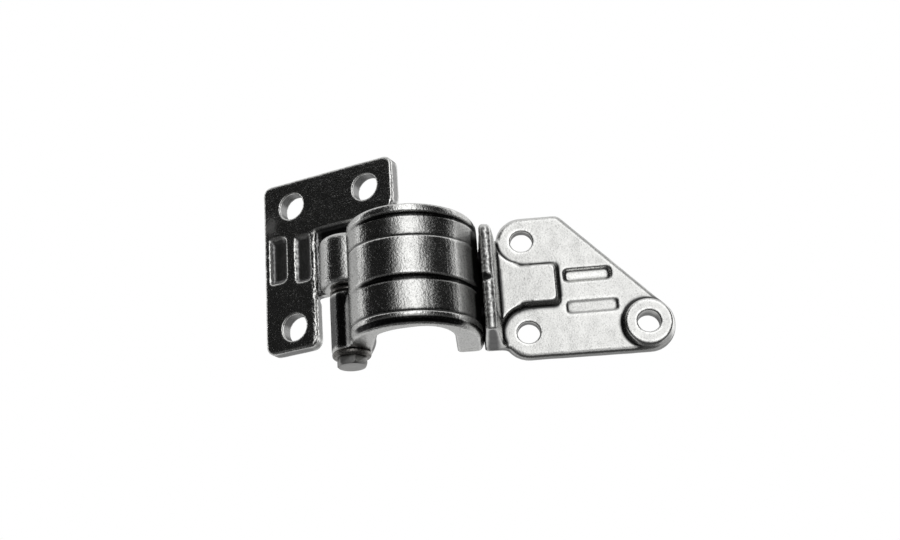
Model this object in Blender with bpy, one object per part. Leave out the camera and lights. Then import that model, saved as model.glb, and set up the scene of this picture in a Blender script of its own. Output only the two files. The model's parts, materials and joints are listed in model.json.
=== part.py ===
"""Truck door hinge: a pillar plate with an upper knuckle, a bowed arm that turns under it
on a hex-head pivot bolt, and a door bracket screwed to the arm's foot."""

import math

import bmesh
import bpy
from mathutils import Matrix, Vector

# Sizes are in millimetres and angles in degrees; MM turns them into metres when a mesh is made.
MM = 0.001

# Gaps between pieces
SEAT_GAP = 0.3          # between faces that bear on each other
FIT_GAP = 0.1           # round a bush or a screw in its bore
RUNNING_GAP = 0.08      # round the pivot bolt in its bushes
SWING_GAP = 0.8         # between the arm and the upper knuckle that it turns round

# The photographed pose: the arm and the bracket are turned this far from the pillar plate's plane
REST_ANGLE = 23.2

# Pillar plate, with its origin on the back face, midway between the two outer bolt holes
PILLAR_THICKNESS = 7.8
PILLAR_HOLE_RADIUS = 7.0
PILLAR_HOLES_ACROSS = 43.1
PILLAR_HOLES_UP = 65.7
PILLAR_SIDE_MARGIN = 16.7
PILLAR_TOP_MARGIN = 13.9
PILLAR_BOTTOM_MARGIN = 12.1
PILLAR_INNER_MARGIN = 13.3
PILLAR_END_MARGIN = 15.6
PILLAR_BEAM_HEIGHT = 30.7
PILLAR_EDGE = 1.0
PILLAR_BACK_EDGE = 0.3
PILLAR_CORNER_RADIUS = 4.6
PILLAR_BEAM_CORNER_RADIUS = 8.5
INNER_DRAFT = 1.3       # the inner edge leans in by this much at the back
EDGE_RELIEF_WIDTH = 1.7
EDGE_RELIEF_HEIGHT = 2.6

# Pockets in the pillar plate's front
POCKET_HEIGHT = 25.9
POCKET_BASE_Z = -8.0
DEEP_POCKET_LEFT = -13.6
DEEP_POCKET_WIDTH = 10.1
DEEP_POCKET_DEPTH = 2.3
DEEP_POCKET_DRAFT = 1.6         # of the left wall; the right one is steep
DEEP_POCKET_RAMP = 3.3          # of the upper wall
DEEP_POCKET_FOOT = 1.7          # of the lower wall
SHALLOW_POCKET_LEFT = 1.2
SHALLOW_POCKET_WIDTH = 9.4
SHALLOW_POCKET_DEPTH = 1.5
SHALLOW_POCKET_DRAFT = 1.5      # of the left wall
SHALLOW_POCKET_RAMP = 3.0       # of the upper wall
STEEP_DRAFT = 0.5

# Pin axis, seen from the pillar plate's origin
PIN_ACROSS = 37.1
PIN_FORWARD = 16.5
PIN_BASE_DROP = 56.6    # from the plate's origin down to the arm's underside

# Upper knuckle and the web that carries it
UPPER_KNUCKLE_RADIUS = 14.0
UPPER_KNUCKLE_HEIGHT = 25.5
UPPER_KNUCKLE_EDGE = 1.4
WEB_THICKNESS = 5.3
WEB_LIFT = 5.5          # the web's underside lies this far above the knuckle's

# Lower knuckle, at the arm's end
LOWER_KNUCKLE_RADIUS = 9.6
LOWER_KNUCKLE_REAR = 12.0
LOWER_KNUCKLE_HEIGHT = 30.0
LOWER_KNUCKLE_EDGE = 1.2
HEEL_HEIGHT = 5.4       # the knuckle's rear is tapered away below this height
HEEL_TAPER = 2.2
BLEND_RADIUS = 6.0      # of the fillet from the knuckle's front into the bow
BLEND_TOP = 28.0
BLEND_FADE = 7.0

# Bushes and pivot bolt
PIN_RADIUS = 5.0
THREAD_RADIUS = 4.0
THREAD_LENGTH = 20.0
BUSH_RADIUS = 6.4
BUSH_FLANGE_RADIUS = 9.4
BUSH_FLANGE_THICKNESS = 2.0
BUSH_FLANGE_ROUND = 1.7
BUSH_SLEEVE_SHARE_GAP = 2.0
HEX_ACROSS_FLATS = 13.0
HEX_HEIGHT = 4.0
HEX_CHAMFER = 1.1
HEX_TURN = 11.3

# Bow of the arm, in plan, with the pin axis at x = y = 0 and the viewer at -y
ARM_HEIGHT = 58.2
BOW_LEFT = 1.0
BOW_WIDTH = 62.2
BOW_CROWN = 28.0        # from the bow's left side to its foremost point
BOW_FRONT = 41.0
BOW_LEG = 13.3
BOW_FOOT = 13.0
BOW_LEFT_SHOULDER = 13.5
BOW_RIGHT_SHOULDER = 5.5
MOUTH_CROWN = 34.0
MOUTH_FRONT = 32.0
MOUTH_LEFT_SHOULDER = 21.0
MOUTH_RIGHT_SHOULDER = 12.0
FOOT_CORNER_RADIUS = 2.0
BACK_PLANE = 11.7       # the foot, the flange and the bracket's plate end here

# Raised bands round the bow
RELIEF = 2.7
BOTTOM_LIP = 5.2
BOTTOM_LIP_ROUND = 4.4
MIDDLE_BAND_LOW = 23.2
MIDDLE_BAND_TOP_DROP = 16.0     # from the arm's top down to the middle band's top
TOP_LIP = 3.8
BAND_STEP = 1.0
BAND_RAMP = 3.6
BOW_EDGE = 1.8
MOUTH_EDGE = 0.7

# Screws that hold the bracket to the arm's foot
SCREW_RADIUS = 4.0
SCREW_HEAD_RADIUS = 7.4
SCREW_SUNK = 0.3        # of the head below the foot's face
SCREW_RIM = 0.5
SCREW_POINT = 0.7
SCREW_REACH = 4.4       # into the flange
SCREW_SOCKET_RADIUS = 2.9
SCREW_SOCKET_DEPTH = 2.6
SCREW_BACK = 4.0        # of the pin axis's plane, towards the viewer
SCREW_LOW_Z = 13.5
SCREW_TOP_DROP = 17.0   # from the arm's top down to the upper screw

# Flange of the door bracket
FLANGE_FRONT = 24.0
FLANGE_DROP = 0.6       # from the arm's underside down to the flange's
FLANGE_TOP_DROP = 5.7   # from the arm's top down to the flange's
FLANGE_NOSE = 7.0
FLANGE_ROOT = 9.0
FLANGE_FILLET = 4.2
FLANGE_ROUND = 2.9
FLANGE_EDGE = 0.5
NOTCH_Z = 25.2
NOTCH_HALF_HEIGHT = 3.5
NOTCH_DEPTH = 3.2       # on the side of the arm's foot
NOTCH_SHALLOW = 0.8     # on the side of the bolt holes

# Plate of the door bracket
BRACKET_THICKNESS = 5.9
BRACKET_HOLE_RADIUS = 5.45
BRACKET_HOLES_UP = 47.2
BRACKET_HOLES_ACROSS = 57.6
BRACKET_HOLE_REACH = 21.5       # from the flange's outer face to the first holes
BRACKET_HOLE_Z = 5.9
BRACKET_RIM = 12.7      # from a hole's centre to the plate's edge
BRACKET_TOP_LENGTH = 17.3
BRACKET_CORNER_RADIUS = 4.0
BRACKET_EDGE = 1.2
BRACKET_BACK_EDGE = 0.3
BOSS_RIM = 13.1
BOSS_RADIUS = 11.2
BOSS_HEIGHT = 3.6
BOSS_DRAFT = 1.3

# Raised tongue and the pockets of the bracket's plate
TONGUE_HEIGHT = 3.8
TONGUE_LOW = 18.4
TONGUE_HIGH = 40.4
TONGUE_REACH = 16.7     # past the first holes
TONGUE_CORNER_RADIUS = 2.6
TONGUE_DRAFT = 1.4
TONGUE_EDGE = 0.5
TONGUE_CLEARANCE = 12.3
CLEARANCE_HEIGHT = 5.0
CLEARANCE_DRAFT = 1.0
LONG_POCKET_REACH = 18.9        # past the first holes
LONG_POCKET_LENGTH = 23.6
LONG_POCKET_HEIGHT = 7.3
LONG_POCKET_Z = 29.8
LONG_POCKET_DEPTH = 1.9
LONG_POCKET_DRAFT = 1.3
LONG_SLOT_REACH = 19.2
LONG_SLOT_LENGTH = 25.0
LONG_SLOT_HEIGHT = 6.8
LONG_SLOT_Z = 13.5
LONG_SLOT_DEPTH = 0.6
LONG_SLOT_DRAFT = 0.6

# Facets
ROUND_STEPS = 40
BOW_STEPS = 20
CORNER_STEPS = 5


def clear_scene():
    """Remove every object."""
    for item in list(bpy.data.objects):
        bpy.data.objects.remove(item, do_unlink=True)


def finish(name, colour, roughness):
    """A bare metal with its colour and roughness."""
    material = bpy.data.materials.new(name)
    material.use_nodes = True
    shader = material.node_tree.nodes["Principled BSDF"]
    shader.inputs["Base Color"].default_value = (*colour, 1.0)
    shader.inputs["Metallic"].default_value = 1.0
    shader.inputs["Roughness"].default_value = roughness
    return material


def arc(centre, radius, start, end, steps=CORNER_STEPS, squash=1.0):
    """Points on a circle or an upright ellipse from start to end, both included."""
    points = []
    for step in range(steps + 1):
        angle = math.radians(start + (end - start) * step / steps)
        points.append((centre[0] + radius * math.cos(angle),
                       centre[1] + radius * squash * math.sin(angle)))
    return points


def rounded(corners, steps=CORNER_STEPS):
    """A closed outline through corners given as x, y and the radius that rounds them."""
    points = []
    for index, (x, y, radius) in enumerate(corners):
        here = Vector((x, y))
        before = (Vector(corners[index - 1][:2]) - here).normalized()
        after = (Vector(corners[(index + 1) % len(corners)][:2]) - here).normalized()
        if radius <= 0:
            points.append((x, y))
            continue
        half = before.angle(after) / 2
        centre = here + (before + after).normalized() * (radius / math.sin(half))
        reach = radius / math.tan(half)
        first = here + before * reach - centre
        last = here + after * reach - centre
        start = math.degrees(math.atan2(first.y, first.x))
        sweep = math.degrees(math.atan2(last.y, last.x)) - start
        sweep = (sweep + 180) % 360 - 180
        points += arc(centre, radius, start, start + sweep, steps)
    return points


def loft(name, rings):
    """A closed solid through rings that have the same number of points, with flat ends."""
    shape = bmesh.new()
    rows = [[shape.verts.new(Vector(point) * MM) for point in ring] for ring in rings]
    for low, high in zip(rows, rows[1:]):
        for index in range(len(low)):
            after = (index + 1) % len(low)
            shape.faces.new((low[index], low[after], high[after], high[index]))
    shape.faces.new(rows[0])
    shape.faces.new(rows[-1])
    bmesh.ops.recalc_face_normals(shape, faces=shape.faces)
    mesh = bpy.data.meshes.new(name)
    shape.to_mesh(mesh)
    shape.free()
    piece = bpy.data.objects.new(name, mesh)
    bpy.context.collection.objects.link(piece)
    return piece


def upright(outline, z):
    """An outline in plan, at a height."""
    return [(x, y, z) for x, y in outline]


def facing(outline, y):
    """An outline seen from the front, at a depth."""
    return [(x, y, z) for x, z in outline]


def sideways(outline, x):
    """An outline seen from the side, at a place across."""
    return [(x, y, z) for y, z in outline]


def turned(profile, steps=ROUND_STEPS, turn=0.0):
    """Rings in plan for a turned shape; the profile is a list of radius and height."""
    return [upright(arc((0, 0), radius, turn, turn + 360 * (steps - 1) / steps, steps - 1), z)
            for radius, z in profile]


def bake(piece):
    """Turn a piece's modifiers into its mesh."""
    graph = bpy.context.evaluated_depsgraph_get()
    mesh = bpy.data.meshes.new_from_object(piece.evaluated_get(graph))
    piece.modifiers.clear()
    piece.data = mesh


def combine(piece, tools, operation):
    """Join or cut a piece with other solids, and remove them."""
    for tool in tools:
        boolean = piece.modifiers.new("shape", "BOOLEAN")
        boolean.object = tool
        boolean.operation = operation
        boolean.solver = "EXACT"
        bake(piece)
        bpy.data.objects.remove(tool, do_unlink=True)


def dress(piece, material, parent):
    """Give a piece its material, smooth rounds and its place under a parent."""
    piece.data.materials.clear()
    piece.data.materials.append(material)
    piece.data.shade_smooth()
    piece.data.set_sharp_from_angle(angle=math.radians(35))
    piece.parent = parent


def pocket_cutter(name, left, low, width, height, depth, drafts, face, corners):
    """A cutter for a pocket in a face towards the viewer; drafts are of the left, right, lower and upper wall."""
    rings = []
    lift = 0.5
    for share, y in ((-lift, face - lift * depth), (0, face), (1, face + depth)):
        from_left, from_right, from_low, from_high = (draft * share for draft in drafts)
        edge = [(left + from_left, low + from_low), (left + width - from_right, low + from_low),
                (left + width - from_right, low + height - from_high), (left + from_left, low + height - from_high)]
        rings.append(facing(rounded([(*spot, max(radius - from_right, 0.3))
                                     for spot, radius in zip(edge, corners)], 3), y))
    return loft(name, rings)


def pillar_outline(inset, lean):
    """The pillar plate's L shape from the front, drawn in by an inset; lean moves its inner edge."""
    left = -PILLAR_SIDE_MARGIN + inset
    inner = PILLAR_INNER_MARGIN - inset - lean
    right = PILLAR_HOLES_ACROSS + PILLAR_END_MARGIN - inset
    bottom = -PILLAR_HOLES_UP / 2 - PILLAR_BOTTOM_MARGIN + inset
    top = PILLAR_HOLES_UP / 2 + PILLAR_TOP_MARGIN - inset
    beam = pillar_beam_low() + inset
    corner = PILLAR_CORNER_RADIUS - inset
    return rounded([(left, bottom, corner), (inner, bottom, corner), (inner, beam, 1.5 + inset),
                    (right, beam, PILLAR_BEAM_CORNER_RADIUS - inset), (right, top, corner), (left, top, corner)])


def pillar_beam_low():
    """Height of the underside of the plate's upper arm."""
    return PILLAR_HOLES_UP / 2 + PILLAR_TOP_MARGIN - PILLAR_BEAM_HEIGHT


def make_pillar_plate(material, parent):
    """The forging that bolts to the pillar, with the upper knuckle in front of its web."""
    front = -PILLAR_THICKNESS
    edge = PILLAR_EDGE
    back = PILLAR_BACK_EDGE
    rings = [(front, edge), (front + edge * 0.3, edge * 0.3), (front + edge, 0), (-back, 0), (0, back)]
    plate = loft("pillar_plate", [facing(pillar_outline(inset, INNER_DRAFT * (y - front) / PILLAR_THICKNESS), y)
                                  for y, inset in rings])

    knuckle_low = knuckle_base_z()
    knuckle_high = knuckle_low + UPPER_KNUCKLE_HEIGHT
    radius = UPPER_KNUCKLE_RADIUS
    edge = UPPER_KNUCKLE_EDGE
    knuckle = loft("knuckle", turned([(radius - edge, knuckle_low), (radius - edge * 0.3, knuckle_low + edge * 0.3),
                                      (radius, knuckle_low + edge), (radius, knuckle_high - edge),
                                      (radius - edge, knuckle_high)]))
    knuckle.location = Vector((PIN_ACROSS, -PIN_FORWARD, 0)) * MM

    web_low = knuckle_low + WEB_LIFT
    web_left = PILLAR_INNER_MARGIN - INNER_DRAFT - 3
    web_front = -WEB_THICKNESS
    web_back = -PILLAR_BACK_EDGE
    web_right = PIN_ACROSS + 1.5
    web_plan = [(web_left, web_back), (web_left, web_front), (PIN_ACROSS - radius * 1.3, web_front),
                (PIN_ACROSS - radius * 1.08, web_front - 1.0), (PIN_ACROSS - radius * 0.97, web_front - 4.0),
                (PIN_ACROSS, -PIN_FORWARD), (web_right, web_back)]
    web = loft("web", [upright(web_plan, web_low), upright(web_plan, knuckle_high - edge)])
    sheet_plan = [(web_left, web_back), (web_left, web_front), (web_right, web_front), (web_right, web_back)]
    sheet = loft("sheet", [upright(sheet_plan, knuckle_high - edge - 2), upright(sheet_plan, pillar_beam_low() + 2)])
    relief_plan = [(PILLAR_INNER_MARGIN - INNER_DRAFT - EDGE_RELIEF_WIDTH, 1),
                   (PILLAR_INNER_MARGIN + 1, 1), (PILLAR_INNER_MARGIN + 1, front + 2)]
    relief = loft("relief", [upright(relief_plan, web_low - EDGE_RELIEF_HEIGHT), upright(relief_plan, web_low + 1)])
    combine(plate, [relief], "DIFFERENCE")
    combine(plate, [web, sheet, knuckle], "UNION")

    holes = []
    for x, z in pillar_holes():
        hole = loft("hole", turned([(PILLAR_HOLE_RADIUS, -1), (PILLAR_HOLE_RADIUS, PILLAR_THICKNESS + 1)]))
        hole.matrix_world = Matrix.Translation(Vector((x, 0, z)) * MM) @ Matrix.Rotation(math.pi / 2, 4, "X")
        holes.append(hole)
    bore = loft("bore", turned([(THREAD_RADIUS + FIT_GAP, knuckle_low - 1),
                                (THREAD_RADIUS + FIT_GAP, knuckle_high + 1)]))
    bore.location = knuckle_place()
    deep = pocket_cutter("deep", DEEP_POCKET_LEFT, POCKET_BASE_Z, DEEP_POCKET_WIDTH, POCKET_HEIGHT,
                         DEEP_POCKET_DEPTH, (DEEP_POCKET_DRAFT, STEEP_DRAFT, DEEP_POCKET_FOOT, DEEP_POCKET_RAMP),
                         front, (1.0, 3.2, 3.2, 1.0))
    shallow = pocket_cutter("shallow", SHALLOW_POCKET_LEFT, POCKET_BASE_Z - 2, SHALLOW_POCKET_WIDTH, POCKET_HEIGHT,
                            SHALLOW_POCKET_DEPTH,
                            (SHALLOW_POCKET_DRAFT, STEEP_DRAFT, STEEP_DRAFT, SHALLOW_POCKET_RAMP), front,
                            (2.6, 2.6, 1.2, 1.2))
    combine(plate, holes + [bore, deep, shallow], "DIFFERENCE")
    dress(plate, material, parent)
    return plate


def knuckle_place():
    """The pin axis in the pillar plate's frame, at the height of its origin."""
    return Vector((PIN_ACROSS, -PIN_FORWARD, 0)) * MM


def knuckle_base_z():
    """Height of the upper knuckle's underside in the pillar plate's frame."""
    return -PIN_BASE_DROP + LOWER_KNUCKLE_HEIGHT + BUSH_FLANGE_THICKNESS + 2 * SEAT_GAP


def pillar_holes():
    """Centres of the pillar plate's bolt holes."""
    half = PILLAR_HOLES_UP / 2
    return [(0, -half), (0, half), (PILLAR_HOLES_ACROSS, half)]


def bow_outline(raised, lip, inset, mouth_inset, heel):
    """The arm in plan. raised is 1 on a band and 0 between them; lip, the insets and heel round its ends."""
    right = BOW_LEFT + BOW_WIDTH
    crown = BOW_LEFT + BOW_CROWN
    mouth_crown = BOW_LEFT + MOUTH_CROWN
    front = BOW_FRONT - RELIEF * (1 - raised) - lip
    leg_inner = BOW_LEFT + BOW_LEG - mouth_inset
    foot_inner = foot_inner_x() + mouth_inset
    back = BACK_PLANE - mouth_inset
    corner = FOOT_CORNER_RADIUS

    def quarter(x, shoulder, reach, depth, start, end):
        return arc((x, -shoulder), reach, start, end, BOW_STEPS, (depth - shoulder) / reach)

    points = [(BOW_LEFT + inset, 0)]
    points += quarter(crown, BOW_LEFT_SHOULDER, BOW_CROWN - inset, front, 180, 270)
    points += quarter(crown, BOW_RIGHT_SHOULDER, BOW_WIDTH - BOW_CROWN - inset, front, 270, 360)[1:]
    points += arc((right - inset - corner, back - corner), corner, 0, 90, 4)
    points += arc((foot_inner + corner, back - corner), corner, 90, 180, 4)
    points += quarter(mouth_crown, MOUTH_RIGHT_SHOULDER, foot_inner - mouth_crown, MOUTH_FRONT + mouth_inset, 360, 270)
    points += quarter(mouth_crown, MOUTH_LEFT_SHOULDER, mouth_crown - leg_inner, MOUTH_FRONT + mouth_inset,
                      270, 180)[1:]
    points += arc((0, 0), LOWER_KNUCKLE_REAR - heel, -10, 85, 6)
    return points


def heel_at(z):
    """How far the rear of the lower knuckle is drawn in at a height near its underside."""
    share = max(0.0, 1 - z / HEEL_HEIGHT)
    return HEEL_TAPER * share ** 1.4


def bow_levels():
    """Height, band, lip, insets and heel of each ring of the bow, from the underside up."""
    edge = BOW_EDGE
    inner = MOUTH_EDGE
    lip = BOTTOM_LIP
    low = MIDDLE_BAND_LOW
    high = ARM_HEIGHT - MIDDLE_BAND_TOP_DROP
    top = ARM_HEIGHT - TOP_LIP
    bottom = [(share * lip, 1, BOTTOM_LIP_ROUND * (1 - (1 - (1 - share) ** 2) ** 0.5), edge * (1 - share) ** 3, 0)
              for share in (0.14, 0.3, 0.5, 0.72, 1.0)]
    levels = [(0, 1, BOTTOM_LIP_ROUND, edge, inner)] + bottom
    levels += [(lip + BAND_STEP, 0, 0, 0, 0), (low - BAND_RAMP, 0, 0, 0, 0), (low - BAND_RAMP * 0.66, 0.05, 0, 0, 0),
               (low - BAND_RAMP * 0.36, 0.18, 0, 0, 0), (low - BAND_RAMP * 0.14, 0.45, 0, 0, 0), (low, 1, 0, 0, 0),
               (high, 1, 0, 0, 0), (high + BAND_STEP, 0, 0, 0, 0), (top - BAND_RAMP, 0, 0, 0, 0),
               (top - BAND_RAMP * 0.36, 0.18, 0, 0, 0), (top - BAND_RAMP * 0.14, 0.45, 0, 0, 0), (top, 1, 0, 0, 0),
               (ARM_HEIGHT - edge, 1, 0, 0, 0), (ARM_HEIGHT - edge * 0.3, 1, 0, edge * 0.3, 0),
               (ARM_HEIGHT, 1, 0, edge, inner)]
    return [(z, raised, drop, inset, mouth, heel_at(z)) for z, raised, drop, inset, mouth in levels]


def blend_ring(radius, z):
    """The fillet in plan between the lower knuckle's front and the bow's left side."""
    x = BOW_LEFT + 0.15 - radius
    reach = LOWER_KNUCKLE_RADIUS + radius
    y = -math.sqrt(reach ** 2 - x ** 2)
    start = math.degrees(math.atan2(-y, -x))
    points = arc((x, y), radius, start, 0, 8)
    points += [(BOW_LEFT + 3.5, y), (BOW_LEFT + 2.5, -LOWER_KNUCKLE_RADIUS * 0.7), (-1.5, -LOWER_KNUCKLE_RADIUS * 0.7)]
    return upright(points, z)


def make_hinge_arm(material, parent):
    """The forging that bows out from the lower knuckle to the foot of the door bracket."""
    arm = loft("hinge_arm", [upright(bow_outline(*shape), z) for z, *shape in bow_levels()])

    radius = LOWER_KNUCKLE_RADIUS
    edge = LOWER_KNUCKLE_EDGE
    height = LOWER_KNUCKLE_HEIGHT

    def knuckle_ring(inset, z):
        rear_reach = LOWER_KNUCKLE_REAR - max(inset, heel_at(z))
        front = arc((0, 0), radius - inset, 180, 360, 20)
        rear = arc((0, 0), radius - inset, 0, 180, 20, rear_reach / (radius - inset))
        return upright(front + rear[1:-1], z)

    heel_rings = [knuckle_ring(0, z) for z in (edge, 0.4 * HEEL_HEIGHT, 0.65 * HEEL_HEIGHT, HEEL_HEIGHT)]
    knuckle = loft("knuckle", [knuckle_ring(edge, 0), knuckle_ring(edge * 0.3, edge * 0.3)] + heel_rings
                   + [knuckle_ring(0, height - edge), knuckle_ring(edge, height)])
    blend = loft("blend", [blend_ring(BLEND_RADIUS - 1, 0.2), blend_ring(BLEND_RADIUS, 1.2),
                           blend_ring(BLEND_RADIUS, BLEND_TOP - BLEND_FADE),
                           blend_ring(BLEND_RADIUS * 0.6, BLEND_TOP - BLEND_FADE * 0.35),
                           blend_ring(BLEND_RADIUS * 0.25, BLEND_TOP)])
    combine(arm, [knuckle, blend], "UNION")

    scallop_radius = UPPER_KNUCKLE_RADIUS + SWING_GAP
    scallop = loft("scallop", turned([(scallop_radius, height), (scallop_radius, ARM_HEIGHT + 2)]))
    bore = loft("bore", turned([(BUSH_RADIUS + FIT_GAP, -2), (BUSH_RADIUS + FIT_GAP, height + 2)]))
    combine(arm, [scallop, bore], "DIFFERENCE")
    combine(arm, [screw_bore(z) for z in screw_heights()], "DIFFERENCE")
    dress(arm, material, parent)
    return arm


def screw_heights():
    """Heights of the two screws through the arm's foot."""
    return SCREW_LOW_Z, ARM_HEIGHT - SCREW_TOP_DROP


def foot_inner_x():
    """The face of the arm's foot that looks into the mouth."""
    return BOW_LEFT + BOW_WIDTH - BOW_FOOT


def flange_x():
    """The face of the bracket's flange that bears on the arm's foot."""
    return BOW_LEFT + BOW_WIDTH + SEAT_GAP


def screw_profile(gap):
    """Radius and place across, for a countersunk screw grown by a gap."""
    head = foot_inner_x() + SCREW_SUNK
    rim = head + SCREW_RIM
    return [(SCREW_HEAD_RADIUS + gap, head), (SCREW_HEAD_RADIUS + gap, rim),
            (SCREW_RADIUS + gap, rim + SCREW_HEAD_RADIUS - SCREW_RADIUS),
            (SCREW_RADIUS + gap, flange_x() + SCREW_REACH + gap)]


def across_rings(profile, z, steps=32):
    """Rings round a line that runs across, at the screws' depth and a height."""
    return [sideways(arc((-SCREW_BACK, z), radius, 0, 360 * (steps - 1) / steps, steps - 1), x)
            for radius, x in profile]


def screw_bore(z):
    """A cutter for a screw's hole, open into the mouth."""
    profile = screw_profile(FIT_GAP)
    return loft("screw_bore", across_rings([(profile[0][0], profile[0][1] - 4)] + profile, z))


def make_screw(name, z, material, parent):
    """A countersunk socket screw from the arm's foot into the bracket's flange."""
    profile = screw_profile(0)
    head = profile[0][1]
    tip = profile[-1][1]
    profile[-1:] = [(SCREW_RADIUS, tip - SCREW_POINT), (SCREW_RADIUS - SCREW_POINT, tip)]
    screw = loft(name, across_rings(profile, z))
    socket = loft("socket", across_rings([(SCREW_SOCKET_RADIUS, head - 1),
                                          (SCREW_SOCKET_RADIUS, head + SCREW_SOCKET_DEPTH)], z, 6))
    combine(screw, [socket], "DIFFERENCE")
    dress(screw, material, parent)
    return screw


def bracket_outline(inset):
    """The door bracket's plate from the front, from its lower left corner round, drawn in by an inset."""
    low, high, boss = (Vector(spot) for spot in bracket_holes())
    rim = BRACKET_RIM - inset
    radius = BRACKET_CORNER_RADIUS - inset
    corner = high + Vector((BRACKET_TOP_LENGTH, BRACKET_RIM - BRACKET_CORNER_RADIUS))
    run = boss - corner
    lean = math.asin((BOSS_RIM - BRACKET_CORNER_RADIUS) / run.length)
    slope = math.degrees(math.atan2(run.y, run.x) + lean) + 90
    root = flange_x() + FLANGE_NOSE / 2
    points = arc(low, rim, -146, -90, 6)
    points += arc(boss, BOSS_RIM - inset, -90, slope, 18)
    points += arc(corner, radius, slope, 90, 4)
    points += arc(high, rim, 90, 180, 10)
    points += [(root, high.y - 6), (root, 1.0)]
    return points


def flange_plan(inset):
    """The bracket's flange in plan, with the fillet that runs it into the plate, drawn in by an inset."""
    left = flange_x() + inset
    nose = flange_x() + FLANGE_NOSE - inset
    root = flange_x() + FLANGE_ROOT - inset
    front = BACK_PLANE - BRACKET_THICKNESS
    back = BACK_PLANE - BRACKET_BACK_EDGE
    fillet = FLANGE_FILLET
    corner = 2.0
    soft = FLANGE_ROUND - min(inset, FLANGE_ROUND - 0.2)
    points = rounded([(left, -FLANGE_FRONT + inset, soft), (nose, -FLANGE_FRONT + inset, soft),
                      (root, front - fillet - 0.6, 0)], 4)
    points += arc((root + fillet, front - fillet), fillet, 180, 90, 5)
    points += [(root + fillet + 1, front + 2), (root, back)]
    points += arc((left + corner, back - corner), corner, 90, 180, 4)
    return points


def make_flange():
    """The flange with a bullet-shaped top and a notch across its nose, deepest beside the arm's foot."""
    edge = FLANGE_EDGE
    top = ARM_HEIGHT - FLANGE_TOP_DROP
    soft = FLANGE_ROUND
    levels = [(-FLANGE_DROP, edge), (edge - FLANGE_DROP, 0)]
    for step in range(5):
        angle = math.radians(90 * step / 4)
        levels.append((top - soft + soft * math.sin(angle), soft * (1 - math.cos(angle))))
    flange = loft("flange", [upright(flange_plan(inset), z) for z, inset in levels])
    grooves = []
    for x, depth in ((flange_x() - 1, NOTCH_DEPTH), (flange_x() + FLANGE_NOSE + 1, NOTCH_SHALLOW)):
        reach = NOTCH_HALF_HEIGHT * (depth + 1.5) / NOTCH_DEPTH
        groove = [(-FLANGE_FRONT - 1.5, NOTCH_Z - reach), (-FLANGE_FRONT + depth, NOTCH_Z),
                  (-FLANGE_FRONT - 1.5, NOTCH_Z + reach)]
        grooves.append(sideways(groove, x))
    notch = loft("notch", grooves)
    combine(flange, [notch], "DIFFERENCE")
    return flange


def tongue_ring(inset, y):
    """The raised tongue's outline, before the clearances round the bolt holes are cut."""
    low = TONGUE_LOW + inset
    high = TONGUE_HIGH - inset
    end = bracket_hole_x() + TONGUE_REACH - inset
    start = flange_x() + FLANGE_NOSE - 1
    corner = TONGUE_CORNER_RADIUS
    spread = 14
    neck = bracket_hole_x() - 2
    outline = [(start, low - spread, 0), (neck - 6, low - spread, 0), (neck, low, 0), (end, low, corner),
               (end, high, corner), (neck, high, 0), (neck - 6, high + spread, 0), (start, high + spread, 0)]
    return facing(rounded(outline, 4), y)


def clearance_cutter(spot):
    """A drafted cutter that keeps the tongue and the fillet clear of a bolt hole."""
    x, z = spot
    front = BACK_PLANE - BRACKET_THICKNESS
    cutter = loft("clearance", turned([(TONGUE_CLEARANCE - 0.2, -1), (TONGUE_CLEARANCE, 0),
                                       (TONGUE_CLEARANCE + CLEARANCE_DRAFT, CLEARANCE_HEIGHT)]))
    cutter.matrix_world = Matrix.Translation(Vector((x, front, z)) * MM) @ Matrix.Rotation(math.pi / 2, 4, "X")
    return cutter


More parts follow.
